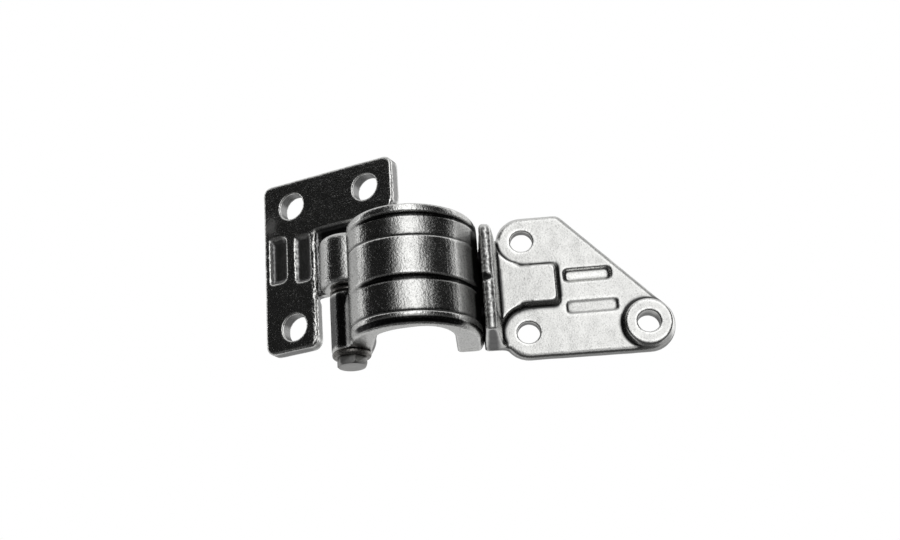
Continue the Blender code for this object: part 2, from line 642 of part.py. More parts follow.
def make_door_bracket(material, parent):
    """The forging that bolts to the door, with its flange against the arm's foot."""
    front = BACK_PLANE - BRACKET_THICKNESS
    edge = BRACKET_EDGE
    back = BRACKET_BACK_EDGE
    rings = [(front, edge), (front + edge * 0.3, edge * 0.3), (front + edge, 0), (BACK_PLANE - back, 0),
             (BACK_PLANE, back)]
    bracket = loft("door_bracket", [facing(bracket_outline(inset), y) for y, inset in rings])

    low, high, boss_at = bracket_holes()
    flange = make_flange()
    face = front - TONGUE_HEIGHT
    tongue = loft("tongue", [tongue_ring(0, front + 1), tongue_ring(0, front),
                             tongue_ring(TONGUE_DRAFT, face + TONGUE_EDGE),
                             tongue_ring(TONGUE_DRAFT + TONGUE_EDGE, face)])
    combine(flange, [tongue], "UNION")
    combine(flange, [clearance_cutter(low), clearance_cutter(high)], "DIFFERENCE")
    boss = loft("boss", turned([(BOSS_RADIUS + BOSS_DRAFT, -1), (BOSS_RADIUS + BOSS_DRAFT, 0),
                                (BOSS_RADIUS + 0.3, BOSS_HEIGHT - 0.5), (BOSS_RADIUS - 0.3, BOSS_HEIGHT)]))
    to_viewer = Matrix.Rotation(math.pi / 2, 4, "X")
    boss.matrix_world = Matrix.Translation(Vector((boss_at[0], front, boss_at[1])) * MM) @ to_viewer
    combine(bracket, [flange, boss], "UNION")

    cutters = []
    for x, z in (low, high, boss_at):
        hole = loft("hole", turned([(BRACKET_HOLE_RADIUS, -1 - BRACKET_THICKNESS),
                                    (BRACKET_HOLE_RADIUS, BOSS_HEIGHT + 1)], 36))
        hole.matrix_world = Matrix.Translation(Vector((x, front, z)) * MM) @ to_viewer
        cutters.append(hole)
    cutters.append(pocket_cutter("pocket", bracket_hole_x() + LONG_POCKET_REACH, LONG_POCKET_Z, LONG_POCKET_LENGTH,
                                 LONG_POCKET_HEIGHT, LONG_POCKET_DEPTH, (LONG_POCKET_DRAFT,) * 4,
                                 front, (2.2, 2.6, 2.6, 2.2)))
    cutters.append(pocket_cutter("slot", bracket_hole_x() + LONG_SLOT_REACH, LONG_SLOT_Z, LONG_SLOT_LENGTH,
                                 LONG_SLOT_HEIGHT, LONG_SLOT_DEPTH, (LONG_SLOT_DRAFT,) * 4,
                                 front, (1.8, 1.8, 1.8, 1.8)))
    cutters += [screw_bore(z) for z in screw_heights()]
    combine(bracket, cutters, "DIFFERENCE")
    dress(bracket, material, parent)
    return bracket


def bracket_hole_x():
    """Place across of the bracket's two holes nearest the flange."""
    return flange_x() + BRACKET_HOLE_REACH


def bracket_holes():
    """Centres of the door bracket's bolt holes: lower, upper and the one in the boss."""
    x = bracket_hole_x()
    return [(x, BRACKET_HOLE_Z), (x, BRACKET_HOLE_Z + BRACKET_HOLES_UP), (x + BRACKET_HOLES_ACROSS, BRACKET_HOLE_Z)]


def make_bush(name, upper, material, parent):
    """A flanged bush pressed into one end of the lower knuckle."""
    inner = PIN_RADIUS + RUNNING_GAP
    sleeve = (LOWER_KNUCKLE_HEIGHT - BUSH_SLEEVE_SHARE_GAP) / 2
    thick = BUSH_FLANGE_THICKNESS
    flange = BUSH_FLANGE_RADIUS
    bend = BUSH_FLANGE_ROUND
    outer = -SEAT_GAP - thick
    profile = [(inner, outer), (flange - bend, outer), (flange - bend * 0.5, outer + bend * 0.14),
               (flange - bend * 0.14, outer + bend * 0.5), (flange, outer + bend),
               (flange, -SEAT_GAP), (BUSH_RADIUS, -SEAT_GAP), (BUSH_RADIUS, sleeve), (inner, sleeve)]
    if upper:
        profile = [(radius, LOWER_KNUCKLE_HEIGHT - z) for radius, z in profile]
    rings = turned(profile)
    bush = loft_tube(name, rings)
    dress(bush, material, parent)
    return bush


def loft_tube(name, rings):
    """A closed ring-shaped solid: the last ring joins the first."""
    shape = bmesh.new()
    rows = [[shape.verts.new(Vector(point) * MM) for point in ring] for ring in rings]
    for low, high in zip(rows, rows[1:] + rows[:1]):
        for index in range(len(low)):
            after = (index + 1) % len(low)
            shape.faces.new((low[index], low[after], high[after], high[index]))
    bmesh.ops.recalc_face_normals(shape, faces=shape.faces)
    mesh = bpy.data.meshes.new(name)
    shape.to_mesh(mesh)
    shape.free()
    piece = bpy.data.objects.new(name, mesh)
    bpy.context.collection.objects.link(piece)
    return piece


def make_pivot_bolt(material, parent):
    """The hex-head shoulder bolt that is screwed up into the upper knuckle."""
    head_top = -2 * SEAT_GAP - BUSH_FLANGE_THICKNESS
    head_low = head_top - HEX_HEIGHT
    shoulder = LOWER_KNUCKLE_HEIGHT + BUSH_FLANGE_THICKNESS + SEAT_GAP
    tip = shoulder + SEAT_GAP + THREAD_LENGTH
    bolt = loft("pivot_bolt", turned([(PIN_RADIUS, head_top - 1), (PIN_RADIUS, shoulder - 0.4),
                                      (PIN_RADIUS - 0.4, shoulder), (THREAD_RADIUS, shoulder),
                                      (THREAD_RADIUS, tip - 1), (THREAD_RADIUS - 1, tip)]))
    corner = HEX_ACROSS_FLATS / 2 / math.cos(math.pi / 6)
    hexagon = loft("hexagon", turned([(corner, head_low), (corner, head_top)], 6, HEX_TURN))
    crown = loft("crown", turned([(HEX_ACROSS_FLATS / 2 - 0.5, head_low - 0.01),
                                  (corner + 0.3, head_low + HEX_CHAMFER),
                                  (corner + 0.3, head_top + 1)]))
    combine(hexagon, [crown], "INTERSECT")
    combine(bolt, [hexagon], "UNION")
    dress(bolt, material, parent)
    return bolt


def frame_at(name, location, turn):
    """An empty that carries a group of pieces."""
    frame = bpy.data.objects.new(name, None)
    frame.location = Vector(location) * MM
    frame.rotation_euler = (0, 0, math.radians(turn))
    frame.empty_display_size = 0.02
    bpy.context.collection.objects.link(frame)
    return frame


def main():
    clear_scene()
    forged = finish("zinc-plated forging", (0.62, 0.62, 0.61), 0.32)
    turned_steel = finish("zinc-plated bolt steel", (0.55, 0.55, 0.55), 0.3)
    bushing = finish("sintered bush", (0.20, 0.19, 0.18), 0.5)

    pin_place = (PIN_ACROSS, -PIN_FORWARD, -PIN_BASE_DROP)
    pillar_side = frame_at("pin_axis", pin_place, 0)
    door_side = frame_at("hinge_axis", pin_place, REST_ANGLE)

    make_pillar_plate(forged, None)
    make_pivot_bolt(turned_steel, pillar_side)
    make_hinge_arm(forged, door_side)
    make_door_bracket(forged, door_side)
    make_bush("lower_bush", False, bushing, door_side)
    make_bush("upper_bush", True, bushing, door_side)
    low_screw, high_screw = screw_heights()
    make_screw("lower_foot_screw", low_screw, turned_steel, door_side)
    make_screw("upper_foot_screw", high_screw, turned_steel, door_side)


main()
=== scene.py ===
"""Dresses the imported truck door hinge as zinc-plated forgings and sets up its studio."""

import json
import math

import bpy
import numpy as np
from mathutils import Matrix, Vector
from mathutils.kdtree import KDTree


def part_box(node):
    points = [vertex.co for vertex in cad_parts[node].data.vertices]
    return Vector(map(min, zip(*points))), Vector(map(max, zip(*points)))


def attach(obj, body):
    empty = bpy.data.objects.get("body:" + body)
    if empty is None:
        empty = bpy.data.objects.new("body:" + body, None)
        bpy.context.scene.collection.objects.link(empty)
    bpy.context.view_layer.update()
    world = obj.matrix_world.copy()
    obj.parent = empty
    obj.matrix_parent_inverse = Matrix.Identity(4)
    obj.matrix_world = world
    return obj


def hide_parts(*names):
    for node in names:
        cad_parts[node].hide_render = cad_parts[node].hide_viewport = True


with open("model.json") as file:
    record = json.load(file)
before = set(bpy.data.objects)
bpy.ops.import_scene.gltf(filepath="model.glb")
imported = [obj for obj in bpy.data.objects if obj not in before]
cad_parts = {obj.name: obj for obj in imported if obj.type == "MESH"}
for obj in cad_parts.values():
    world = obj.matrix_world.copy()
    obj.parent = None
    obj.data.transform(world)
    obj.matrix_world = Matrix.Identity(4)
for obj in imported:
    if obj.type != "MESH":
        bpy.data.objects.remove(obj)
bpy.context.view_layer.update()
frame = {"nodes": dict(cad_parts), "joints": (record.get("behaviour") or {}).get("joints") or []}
MM = 0.001
PIN_AXIS = Vector(frame["joints"][0]["pos_m"])
SEAM_X = PIN_AXIS.x + 63.35 * MM    # where the arm's foot meets the flange, once the door side is square
SEAM_CLOSING = 0.22 * MM
# the middles of the bolt holes along X and Z, in mm: the plate's from the frame's origin, and the bracket's
# from the pin axis, once the door side is square
PLATE_HOLES = ((0, -32.85), (0, 32.85), (43.1, 32.85))
BRACKET_HOLES = ((85.0, 5.9), (85.0, 53.1), (142.6, 5.9))
HOLE_REACH = 8      # from a hole's middle past its wall, in mm
# the colour sockets of a Mix node, which shares their names with its other sockets
MIX_A, MIX_B, MIX_RESULT = 6, 7, 2
# lamps, dark cards and walls round the hinge: degrees from the front lamp, and a strength each
RINGS = {
    "left": ((0, 1.0), (8, 1.0), (17, 0.5), (26, 0.1), (36, 0.007), (91, 0.01), (99, 0.3), (103, 1.3),
             (108, 0.3), (135, 0.35), (150, 0.25), (180, 0.16)),
    "right": ((0, 1.0), (8, 1.0), (17, 0.5), (26, 0.1), (36, 0.01), (68, 0.012), (84, 0.4), (98, 0.9),
              (130, 0.8), (150, 0.25), (165, 0.14), (180, 0.16)),
    "low": ((0, 0.33), (12, 0.3), (24, 0.12), (40, 0.04), (62, 0.035), (78, 0.06), (94, 0.15), (108, 0.3),
            (180, 0.4)),
    "ground": ((0, 0.04), (30, 0.02), (180, 0.05)),
}

bl_info = {
    "name": "Truck door hinge",
    "version": (1, 0, 0),
    "blender": (4, 5, 0),
    "location": "View3D > Sidebar > Door hinge",
    "description": "Dresses the hinge's forgings, pivot bolt, bushes and screws, and sets up its studio",
    "category": "Object",
}


class HingeForgings(bpy.types.PropertyGroup):
    """Sizes of the forged surfaces."""

    skin: bpy.props.FloatProperty(
        name="Skin", description="Size of the squares that a forging's skin is made of", default=0.5 * MM,
        min=0.3 * MM, unit="LENGTH")
    die_radius: bpy.props.IntProperty(
        name="Die radius", description="How many times a forging's edges are rounded", default=5, min=0)
    swell: bpy.props.FloatProperty(
        name="Swell", description="Height of the low waves that hammering leaves", default=0.22 * MM,
        unit="LENGTH")
    swell_width: bpy.props.FloatProperty(
        name="Swell width", description="Width of those waves", default=9 * MM, unit="LENGTH")
    rest_angle: bpy.props.FloatProperty(
        name="Rest angle", description="Turn of the door side about the pin, as modelled",
        default=math.radians(23.2), subtype="ANGLE")


class HingeHardware(bpy.types.PropertyGroup):
    """Sizes of the bolt, the bushes and the foot screws."""

    across_flats: bpy.props.FloatProperty(
        name="Across flats", description="Width of the pivot bolt's hexagon", default=13 * MM, unit="LENGTH")
    hex_height: bpy.props.FloatProperty(
        name="Hex height", description="Height of the pivot bolt's hexagon", default=4 * MM, unit="LENGTH")
    hex_turn: bpy.props.FloatProperty(
        name="Hex turn", description="How far the hexagon was turned when it was tightened", subtype="ANGLE",
        default=math.radians(41.3))
    pin_radius: bpy.props.FloatProperty(
        name="Pin radius", description="Radius of the pivot bolt's shank", default=5 * MM, unit="LENGTH")
    thread_radius: bpy.props.FloatProperty(
        name="Thread radius", description="Radius of the pivot bolt's thread", default=4 * MM, unit="LENGTH")
    bush_wall: bpy.props.FloatProperty(
        name="Bush wall", description="Thickness of a bush's sleeve", default=1.32 * MM, unit="LENGTH")
    screw_radius: bpy.props.FloatProperty(
        name="Screw radius", description="Radius of a foot screw's shank", default=4 * MM, unit="LENGTH")
    screw_head_radius: bpy.props.FloatProperty(
        name="Screw head radius", description="Radius of its countersunk head", default=7.4 * MM,
        unit="LENGTH")


class HingeFinishes(bpy.types.PropertyGroup):
    """Colours of the finishes."""

    zinc: bpy.props.StringProperty(
        name="Zinc", description="sRGB hex colour of the bright zinc plating", default="#D6D6D4")
    scale: bpy.props.StringProperty(
        name="Scale", description="sRGB hex colour of the dull patches in the plating", default="#B4B4B2")
    bronze: bpy.props.StringProperty(
        name="Bronze", description="sRGB hex colour of the oiled bush", default="#A8A6A2")


class HingeStudio(bpy.types.PropertyGroup):
    """The camera and the lamps."""

    azimuth: bpy.props.FloatProperty(
        name="Azimuth", description="The camera's way round the hinge, from the front",
        default=math.radians(25.04), subtype="ANGLE")
    rise: bpy.props.FloatProperty(
        name="Rise", description="How steeply the camera looks up", default=math.radians(20.93),
        subtype="ANGLE")
    roll: bpy.props.FloatProperty(
        name="Roll", description="The camera's tilt about its own line of sight", default=math.radians(-3.91),
        subtype="ANGLE")
    lens: bpy.props.FloatProperty(
        name="Lens", description="Focal length", default=58.59, unit="CAMERA")
    place: bpy.props.FloatVectorProperty(
        name="Place", description="The camera's place, seen from the foot of the pin axis",
        default=(0.3265, -0.5822, -0.2152), subtype="TRANSLATION", unit="LENGTH")
    lamp: bpy.props.FloatProperty(
        name="Lamp", description="The front lamp's way round the hinge, from the front",
        default=math.radians(33), subtype="ANGLE")
    lamp_strength: bpy.props.FloatProperty(
        name="Lamp strength", description="Strength of the lamps and walls round the hinge", default=1.6,
        min=0)
    floor_drop: bpy.props.FloatProperty(
        name="Floor drop", description="Depth of the floor under the hinge, out of the camera's view",
        default=0.34, unit="LENGTH")


def from_hex(code):
    """An sRGB hex colour as linear red, green, blue and alpha."""
    channels = [int(code[at:at + 2], 16) / 255 for at in (1, 3, 5)]
    return [c / 12.92 if c <= 0.04045 else ((c + 0.055) / 1.055) ** 2.4 for c in channels] + [1.0]


def add_node(tree, kind, links=None, **settings):
    """Add a node: settings name its own values, links name or number its inputs' values or sources."""
    node = tree.nodes.new(kind)
    for name, value in settings.items():
        setattr(node, name, value)
    for name, value in (links or {}).items():
        if isinstance(value, bpy.types.NodeSocket):
            tree.links.new(value, node.inputs[name])
        else:
            node.inputs[name].default_value = value
    return node


def new_material(name):
    """An empty node material with its output."""
    material = bpy.data.materials.new(name)
    material.use_nodes = True
    tree = material.node_tree
    tree.nodes.clear()
    return material, tree, add_node(tree, "ShaderNodeOutputMaterial")


def zinc_plated_forging(name, grain_mm, grain_height_mm, roughness, specks, dulled, corners="#303030"):
    """Bright zinc plating over drop-forged, shot-blasted steel: a sparkling grain on a soft metal sheen."""
    finishes = bpy.context.scene.hinge_finishes
    material, tree, output = new_material(name)
    place = add_node(tree, "ShaderNodeTexCoord").outputs["Object"]
    hollows_and_painted_shade, dull, matt = (add_node(tree, "ShaderNodeAttribute", attribute_name=mark).outputs["Fac"]
                           for mark in ("hollows_and_painted_shade", "dull", "matt"))
    # patches of duller plating some 7 mm across, the pits of the blasting, frosted specks and the grain; all
    # but the patches are some 0.3 mm on a real hinge, and are drawn coarser so that they show
    patches, pits, frost, grain = (
        add_node(tree, "ShaderNodeTexNoise", {"Vector": place, "Scale": 1 / (width_mm * MM), "Detail": detail,
                                              "Roughness": rough, "Distortion": distortion}).outputs["Fac"]
        for width_mm, detail, rough, distortion in (
            (7, 3.0, 0.6, 0.0), (0.8, 2.0, 0.75, 0.0), (0.9, 2.0, 0.8, 0.4), (grain_mm, 2.0, 0.7, 0.0)))
    # how far the plating is patched, darkened by painted shade in corners and gaps, rubbed bright on edges,
    # which is partly a painted highlight, and pitted; how rough it is, with specks that catch light from all
    # round and so sparkle on the dark sides, and with matt places
    patched, painted_corner_shade, rubbed, pitted, sheen, frosted, matted = (
        add_node(tree, "ShaderNodeMapRange", {"Value": source, "From Min": low, "From Max": high,
                                              "To Min": start, "To Max": end}).outputs["Result"]
        for source, low, high, start, end in (
            (patches, 0.3, 0.75, dulled - 0.15, dulled + 0.15), (hollows_and_painted_shade, 0.02, 0.18, 0.0, 1.0),
            (hollows_and_painted_shade, -0.06, -0.25, 0.0, 1.0), (pits, 0.36, 0.46, specks, 0.0),
            (patches, 0.3, 0.7, roughness - 0.02, roughness + 0.02), (frost, 0.55, 0.68, 0.0, 0.35 * specks),
            (matt, 0.0, 1.0, 0.0, 0.4)))
    # the dull mark's grey and the corners' colour are painted shade, and the near-white on rubbed edges is
    # partly a painted highlight
    colour = from_hex(finishes.zinc)
    for share, tone in ((patched, finishes.scale), (dull, "#5A5A5A"), (painted_corner_shade, corners),
                        (rubbed, "#F2F2F0"), (pitted, "#6A6A6A")):
        colour = add_node(tree, "ShaderNodeMix", {0: share, MIX_A: colour, MIX_B: from_hex(tone)},
                          data_type="RGBA").outputs[MIX_RESULT]
    gloss = sheen
    for more in (frosted, matted):
        gloss = add_node(tree, "ShaderNodeMath", {0: gloss, 1: more}, operation="ADD").outputs["Value"]
    bump = add_node(tree, "ShaderNodeBump", {"Height": grain, "Strength": 1.0,
                                             "Distance": grain_height_mm * MM})
    shader = add_node(tree, "ShaderNodeBsdfPrincipled", {
        "Base Color": colour, "Metallic": 1.0, "Roughness": gloss, "Normal": bump.outputs["Normal"]})
    tree.links.new(shader.outputs["BSDF"], output.inputs["Surface"])
    return material


def oiled_bronze():
    """Oiled sintered bronze: a dull brown-grey metal with darker pores, wet with oil."""
    material, tree, output = new_material("oiled sintered bronze")
    place = add_node(tree, "ShaderNodeTexCoord").outputs["Object"]
    # pores of some 0.2 mm, drawn coarser so that they show
    pores = add_node(tree, "ShaderNodeTexNoise", {"Vector": place, "Scale": 1 / (0.8 * MM), "Detail": 2.0,
                                                  "Roughness": 0.7}).outputs["Fac"]
    solid = add_node(tree, "ShaderNodeMapRange", {"Value": pores, "From Min": 0.35, "From Max": 0.6})
    colour = add_node(tree, "ShaderNodeMix", {
        0: solid.outputs["Result"], MIX_A: from_hex("#4A4743"),
        MIX_B: from_hex(bpy.context.scene.hinge_finishes.bronze)}, data_type="RGBA")
    bump = add_node(tree, "ShaderNodeBump", {"Height": pores, "Strength": 1.0, "Distance": 0.05 * MM})
    shader = add_node(tree, "ShaderNodeBsdfPrincipled", {
        "Base Color": colour.outputs[MIX_RESULT], "Metallic": 1.0, "Roughness": 0.38, "Coat Weight": 0.3,
        "Coat Roughness": 0.1, "Normal": bump.outputs["Normal"]})
    tree.links.new(shader.outputs["BSDF"], output.inputs["Surface"])
    return material


def black_oxide():
    """Black oxide on alloy steel: a dark, slightly oily film, rubbed to bare steel in small patches."""
    material, tree, output = new_material("black oxide on alloy steel")
    place = add_node(tree, "ShaderNodeTexCoord").outputs["Object"]
    # rubbed patches of some 1.5 mm
    patches = add_node(tree, "ShaderNodeTexNoise", {"Vector": place, "Scale": 1 / (1.5 * MM), "Detail": 3.0,
                                                    "Roughness": 0.6}).outputs["Fac"]
    rubbed = add_node(tree, "ShaderNodeMapRange", {"Value": patches, "From Min": 0.5, "From Max": 0.8})
    colour = add_node(tree, "ShaderNodeMix", {0: rubbed.outputs["Result"], MIX_A: from_hex("#262628"),
                                              MIX_B: from_hex("#5A5A5C")}, data_type="RGBA")
    gloss = add_node(tree, "ShaderNodeMapRange", {"Value": patches, "From Min": 0.3, "From Max": 0.7,
                                                  "To Min": 0.42, "To Max": 0.32})
    shader = add_node(tree, "ShaderNodeBsdfPrincipled", {
        "Base Color": colour.outputs[MIX_RESULT], "Metallic": 1.0, "Roughness": gloss.outputs["Result"]})
    tree.links.new(shader.outputs["BSDF"], output.inputs["Surface"])
    return material


def only(piece):
    """Select one piece and make it active."""
    bpy.ops.object.select_all(action="DESELECT")
    piece.select_set(True)
    bpy.context.view_layer.objects.active = piece


def add_modifier(piece, kind, **settings):
    """Add a modifier with its settings and apply it."""
    only(piece)
    modifier = piece.modifiers.new(kind.lower(), kind)
    for name, value in settings.items():
        setattr(modifier, name, value)
    bpy.ops.object.modifier_apply(modifier=modifier.name)


def select_points(piece, chosen):
    """Go into edit mode with just the points that are chosen by their place."""
    only(piece)
    bpy.ops.object.mode_set(mode="EDIT")
    bpy.ops.mesh.select_mode(type="VERT")
    bpy.ops.mesh.select_all(action="DESELECT")
    bpy.ops.object.mode_set(mode="OBJECT")
    for vertex in piece.data.vertices:
        vertex.select = chosen(vertex.co)
    bpy.ops.object.mode_set(mode="EDIT")


def copy_node(node, name):
    """A new piece with a CAD node's mesh, its loose triangles merged."""
    piece = bpy.data.objects.new(name, frame["nodes"][node].data.copy())
    piece.data.name = name
    bpy.context.scene.collection.objects.link(piece)
    only(piece)
    bpy.ops.object.mode_set(mode="EDIT")
    bpy.ops.mesh.select_all(action="SELECT")
    bpy.ops.mesh.remove_doubles(threshold=0.001 * MM)
    bpy.ops.object.mode_set(mode="OBJECT")
    return piece


def turn_about_pin(piece, angle):
    """Turn a piece about the pin axis, in its mesh."""
    only(piece)
    bpy.ops.transform.rotate(value=-angle, orient_axis="Z", orient_type="GLOBAL", center_override=PIN_AXIS)
    bpy.ops.object.transform_apply(location=True, rotation=True, scale=True)


def forge(piece):
    """Give a piece the even skin, rounded edges and low waves of a drop forging."""
    forging = bpy.context.scene.hinge_forgings
    add_modifier(piece, "REMESH", mode="VOXEL", voxel_size=forging.skin, use_smooth_shade=True)
    add_modifier(piece, "SMOOTH", factor=0.5, iterations=forging.die_radius)
    waves = bpy.data.textures.new(piece.name + "_swell", "CLOUDS")
    waves.noise_scale = forging.swell_width
    waves.noise_depth = 1
    add_modifier(piece, "DISPLACE", texture=waves, texture_coords="GLOBAL", strength=forging.swell,
                 mid_level=0.5)


def seat(piece, reach):
    """Move the face that bears on its neighbour by a hair, so that no light comes through the seam."""
    face_depth = 0.5 * MM
    select_points(piece, lambda point: abs(point.x - SEAM_X) < face_depth)
    bpy.ops.transform.translate(value=(reach, 0, 0))
    bpy.ops.object.mode_set(mode="OBJECT")


def tear(piece, chosen, height, width):
    """Leave the ragged burr of a trimmed edge on the points that are chosen by their place in mm."""
    edge = piece.vertex_groups.new(name="burr")
    edge.add([vertex.index for vertex in piece.data.vertices if chosen(vertex.co / MM)], 1.0, "REPLACE")
    teeth = bpy.data.textures.new(piece.name + "_burr", "CLOUDS")
    teeth.noise_scale = width
    teeth.noise_depth = 2
    add_modifier(piece, "DISPLACE", texture=teeth, texture_coords="GLOBAL", strength=height, mid_level=0.5,
                 vertex_group="burr")
    piece.vertex_groups.clear()


def press_in(piece, weigh, depth):
    """Press points into the surface, each by the share that its place and normal give it."""
    line = piece.vertex_groups.new(name="line")
    for vertex in piece.data.vertices:
        weight = weigh((vertex.co - PIN_AXIS) / MM, vertex.normal)
        if weight > 0:
            line.add([vertex.index], min(weight, 1.0), "REPLACE")
    add_modifier(piece, "DISPLACE", strength=-depth, mid_level=0.0, vertex_group="line")
    piece.vertex_groups.clear()


def bow_line(height, width):
    """A weight for points in a line round the bow's outer wall, fading towards the knuckle, sizes in mm."""
    bow_x, bow_y = 32, -8
    wall_y, start_x, full_x = -12, 7, 16

    def weigh(point, normal):
        outwards = normal.x * (point.x - bow_x) + normal.y * (point.y - bow_y) > 0
        if not outwards or point.y > wall_y or abs(point.z - height) > width:
            return 0.0
        return (1 - abs(point.z - height) / width) * min(1.0, (point.x - start_x) / (full_x - start_x))
    return weigh


def soften(piece, chosen, times):
    """Smooth the points that are chosen by their place."""
    select_points(piece, chosen)
    bpy.ops.mesh.vertices_smooth(factor=0.5, repeat=times)
    bpy.ops.object.mode_set(mode="OBJECT")


def round_rim(piece, front, back, holes, width, times):
    """Round the front rim of a plate between two depths, and leave the rims of its holes."""
    past_rim, before_front, before_back, level = 1.7 * MM, 0.6 * MM, 2 * MM, 0.35
    walls = [vertex.co for vertex in piece.data.vertices
             if front + past_rim < vertex.co.y < back and abs(vertex.normal.y) < level
             and all(math.hypot(vertex.co.x - x, vertex.co.z - z) > radius for x, z, radius in holes)]
    tree = KDTree(len(walls))
    for index, place in enumerate(walls):
        tree.insert(place, index)
    tree.balance()
    soften(piece, lambda point: (front - before_front < point.y < back - before_back
                                 and tree.find(point)[2] < width), times)


def within(values, low, high):
    """Which values lie between two others."""
    return (values > low) & (values < high)


def fade(values, start, end):
    """Shares that go from 0 at the start to 1 at the end."""
    return np.clip((values - start) / (end - start), 0, 1)


def points_from_pin(piece):
    """The places of a piece's points from the foot of the pin axis in mm, as three rows."""
    places = np.empty(len(piece.data.vertices) * 3)
    piece.data.vertices.foreach_get("co", places)
    return (places.reshape(-1, 3) - np.array(PIN_AXIS)).T / MM


def mark_surface(piece, dull, matt, dark):
    """Store per point the depth in a corner or gap in mm plus painted shade, how far painted shade darkens
    it, and how matt it is.
    """
    mesh = piece.data
    places, normals = np.empty(len(mesh.vertices) * 3), np.empty(len(mesh.vertices) * 3)
    mesh.vertices.foreach_get("co", places)
    mesh.vertices.foreach_get("normal", normals)
    places, normals = places.reshape(-1, 3), normals.reshape(-1, 3)
    ends = np.empty(len(mesh.edges) * 2, dtype=np.int32)
    mesh.edges.foreach_get("vertices", ends)
    first, second = ends.reshape(-1, 2).T
    near = np.concatenate((second, first))
    here = np.concatenate((first, second))
    share = 1 / np.bincount(here)
    around, rounds = places, 12
    for _ in range(rounds):
        around = np.stack([np.bincount(here, around[near, axis]) * share for axis in range(3)], axis=1)
    depth = ((around - places) * normals).sum(axis=1) / MM
    # dark is painted shade added to the corner depth; dull is where painted shade darkens the colour
    for name, values in (("hollows_and_painted_shade", depth + dark), ("dull", dull), ("matt", matt)):
        mesh.attributes.new(name, "FLOAT", "POINT").data.foreach_set("value", values.astype(float))


def select_faces(piece, chosen):
    """Go into edit mode with just the faces that are chosen by their middle and normal."""
    only(piece)
    bpy.ops.object.mode_set(mode="EDIT")
    bpy.ops.mesh.select_mode(type="FACE")
    bpy.ops.mesh.select_all(action="DESELECT")
    bpy.ops.object.mode_set(mode="OBJECT")
    for face in piece.data.polygons:
        face.select = chosen(face.center, face.normal)
    bpy.ops.object.mode_set(mode="EDIT")


def new_rod(name, sides, radius, ends, middle, rotation=(0, 0, 0)):
    """A plain closed rod between two distances along its axis, the start of a turned piece."""
    bpy.ops.object.select_all(action="DESELECT")
    bpy.ops.mesh.primitive_cylinder_add(vertices=sides, radius=radius, depth=ends[1] - ends[0],
                                        location=(0, 0, 0))
    rod = bpy.context.object
    rod.name = rod.data.name = name
    rod.location = (0, 0, (ends[0] + ends[1]) / 2)
    bpy.ops.object.transform_apply(location=True, rotation=True, scale=True)
    rod.rotation_euler = rotation
    rod.location = middle
    bpy.ops.object.transform_apply(location=True, rotation=True, scale=True)
    return rod


def cut_with(piece, tool, operation):
    """Cut a piece with another, which is used up."""
    add_modifier(piece, "BOOLEAN", operation=operation, object=tool, solver="EXACT")
    bpy.data.objects.remove(tool)


def break_edges(piece, width):
    """Round the sharp edges of a machined piece and smooth its faces."""
    add_modifier(piece, "BEVEL", width=width, segments=2, limit_method="ANGLE", angle_limit=math.radians(28))
    only(piece)
    bpy.ops.object.shade_smooth_by_angle(angle=math.radians(35))


def make_pivot_bolt(context):
    """The hex-head shoulder bolt."""
    sizes = context.scene.hinge_hardware
    low, high = (corner.z - PIN_AXIS.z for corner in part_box("pivot_bolt"))
    corner = sizes.across_flats / 2 / math.cos(math.pi / 6)
    thread_length, chamfer = 20.3 * MM, 1 * MM
    crown_spare, crown_chamfer, sunk = 0.2 * MM, 1.15 * MM, 1 * MM
    bolt = new_rod("hex_pivot_bolt", 6, corner, (low, low + sizes.hex_height), PIN_AXIS,
                   (0, 0, sizes.hex_turn))
    # a round crown takes the corners off the hexagon's end
    crown = new_rod("crown", 96, corner + crown_spare, (low, low + 2 * sizes.hex_height), PIN_AXIS)
    select_faces(crown, lambda middle, normal: normal.z < -0.9)
    bpy.ops.mesh.bevel(offset=crown_chamfer, segments=1, affect="EDGES")
    bpy.ops.object.mode_set(mode="OBJECT")
    cut_with(bolt, crown, "INTERSECT")
    shank = new_rod("shank", 64, sizes.pin_radius, (low + sunk, high - thread_length), PIN_AXIS)
    select_faces(shank, lambda middle, normal: normal.z > 0.9)
    bpy.ops.mesh.inset(thickness=sizes.pin_radius - sizes.thread_radius)
    bpy.ops.mesh.extrude_region_move(TRANSFORM_OT_translate={"value": (0, 0, thread_length)})
    bpy.ops.mesh.bevel(offset=chamfer, segments=1, affect="EDGES")
    bpy.ops.object.mode_set(mode="OBJECT")
    cut_with(bolt, shank, "UNION")
    break_edges(bolt, 0.25 * MM)
    return bolt


